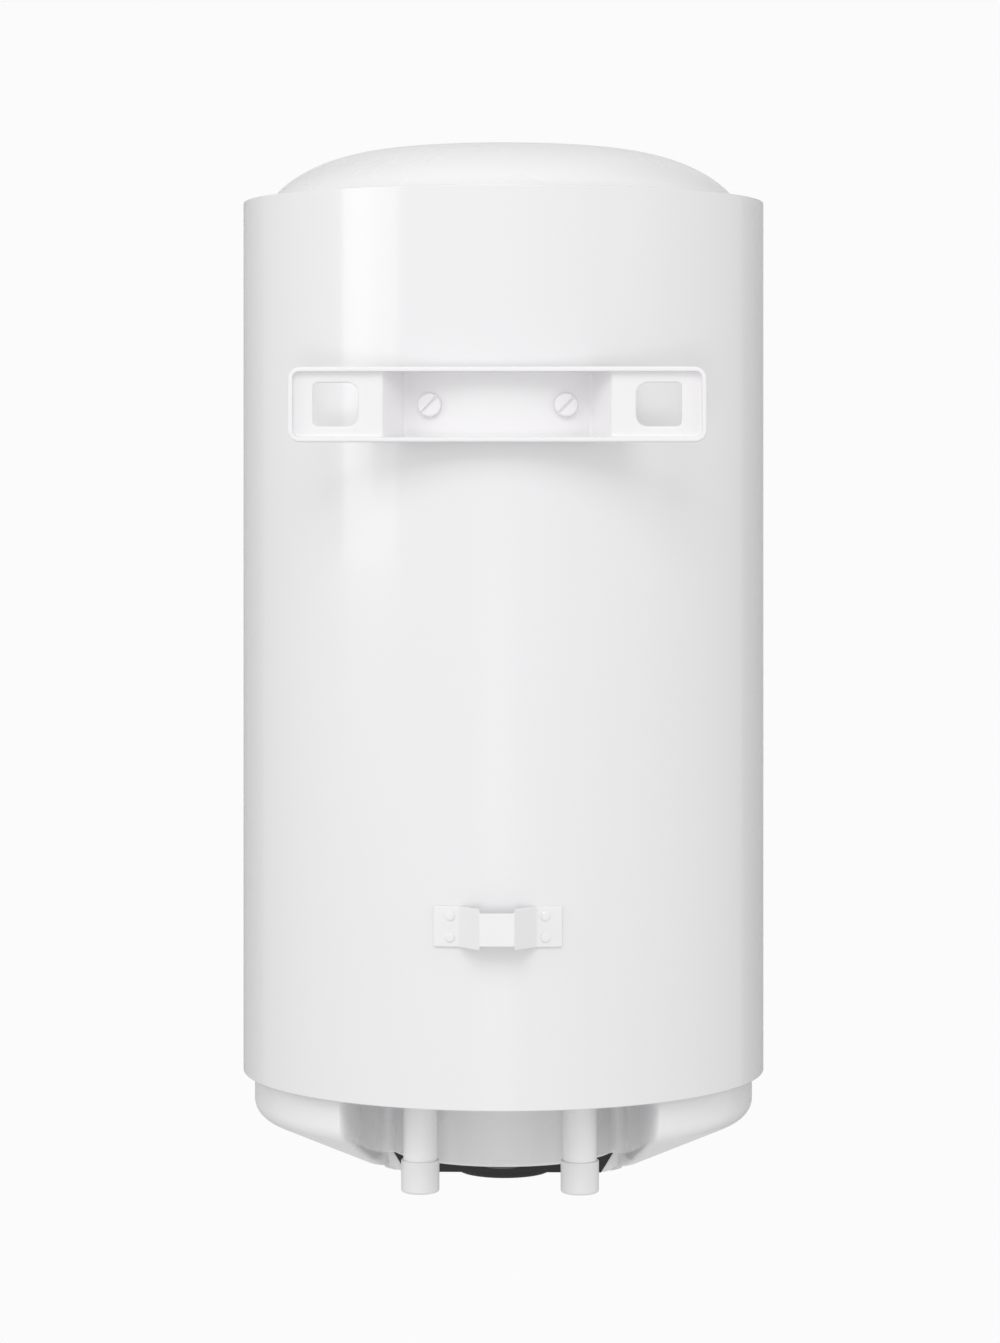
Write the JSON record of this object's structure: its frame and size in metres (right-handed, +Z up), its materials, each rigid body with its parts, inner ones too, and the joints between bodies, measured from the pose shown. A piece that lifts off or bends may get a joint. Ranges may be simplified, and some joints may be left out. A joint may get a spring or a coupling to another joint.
{
  "type": "tank water heater",
  "caption": "Slim wall-hung electric storage water heater with a white casing, hanger bracket, bottom pipes and an underside control knob.",
  "frame": {"origin": "midway between the two hook openings of the hanger bracket, on the wall plane", "axes": "+Z up, +Y into the wall, so the front faces -Y; +X to the right seen from the front"},
  "size_m": [0.3399, 0.356, 0.6728],
  "materials": {
    "white_enamel": "gloss",
    "white_plastic": "gloss",
    "zinc_steel": "satin",
    "foam": "matte",
    "tank_enamel": "gloss",
    "raw_steel": "matte",
    "white_powder": "satin",
    "white_pipe": "gloss",
    "cap_plastic": "satin",
    "black_rubber": "matte",
    "copper": "satin",
    "insulator": "satin",
    "magnesium": "matte",
    "stainless": "satin",
    "dark_plastic": "satin",
    "red_plastic": "satin",
    "lamp_glass": "polished",
    "lens_red": "gloss",
    "brass": "satin",
    "wire_brown": "satin",
    "wire_blue": "satin",
    "wire_green": "satin",
    "gland_grey": "satin"
  },
  "bodies": {
    "heater": {"outer_casing": "white_enamel", "top_cap": "white_plastic", "bottom_cover": "white_plastic", "base_plate": "zinc_steel", "insulation_foam": "foam", "inner_tank": "tank_enamel", "hanger_bosses": "raw_steel", "hanger_bracket": "white_powder", "hanger_screws": "white_powder", "lower_spacer": "white_powder", "spacer_rivets": "white_powder", "cold_inlet_pipe": "white_pipe", "hot_outlet_pipe": "white_pipe", "pipe_grommets": "black_rubber", "inlet_deflector": "white_plastic", "neck_ring": "raw_steel", "neck_studs": "zinc_steel", "flange_gasket": "black_rubber", "flange_plate": "zinc_steel", "flange_nuts": "zinc_steel", "heating_element": "copper", "element_bushes": "insulator", "element_terminals": "zinc_steel", "anode_rod": "magnesium", "anode_nut": "zinc_steel", "thermostat_pocket": "stainless", "thermostat_probe": "copper", "thermostat_housing": "dark_plastic", "control_panel": "dark_plastic", "indicator_lamp": "lamp_glass", "lamp_lens": "lens_red", "terminal_bracket": "zinc_steel", "terminal_block": "insulator", "terminal_screws": "zinc_steel", "earth_screw": "brass", "live_wire": "wire_brown", "neutral_wire": "wire_blue", "earth_wire": "wire_green", "cable_gland": "gland_grey", "gland_nut": "gland_grey", "cover_posts": "zinc_steel", "cover_screws": "zinc_steel"},
    "knob": {"thermostat_knob": "dark_plastic", "thermostat_spindle": "stainless"},
    "reset_button": {"cutout_button": "red_plastic"},
    "cold_cap": {"cold_pipe_cap": "cap_plastic"},
    "hot_cap": {"hot_pipe_cap": "cap_plastic"}
  },
  "joints": [
    {"name": "knob_turn", "type": "hinge", "parent": "heater", "child": "knob", "pos_m": [0, -0.215, -0.4985], "axis": [0, 0, -1], "range_deg": [0, 270]},
    {"name": "reset_press", "type": "slide", "parent": "heater", "child": "reset_button", "axis": [0, 0, 1], "range_m": [0, 0.002], "stiffness_N_per_m": 400},
    {"name": "cold_cap_slide", "type": "slide", "parent": "heater", "child": "cold_cap", "axis": [0, 0, -1], "range_m": [0, 0.06]},
    {"name": "hot_cap_slide", "type": "slide", "parent": "heater", "child": "hot_cap", "axis": [0, 0, -1], "range_m": [0, 0.06]}
  ]
}
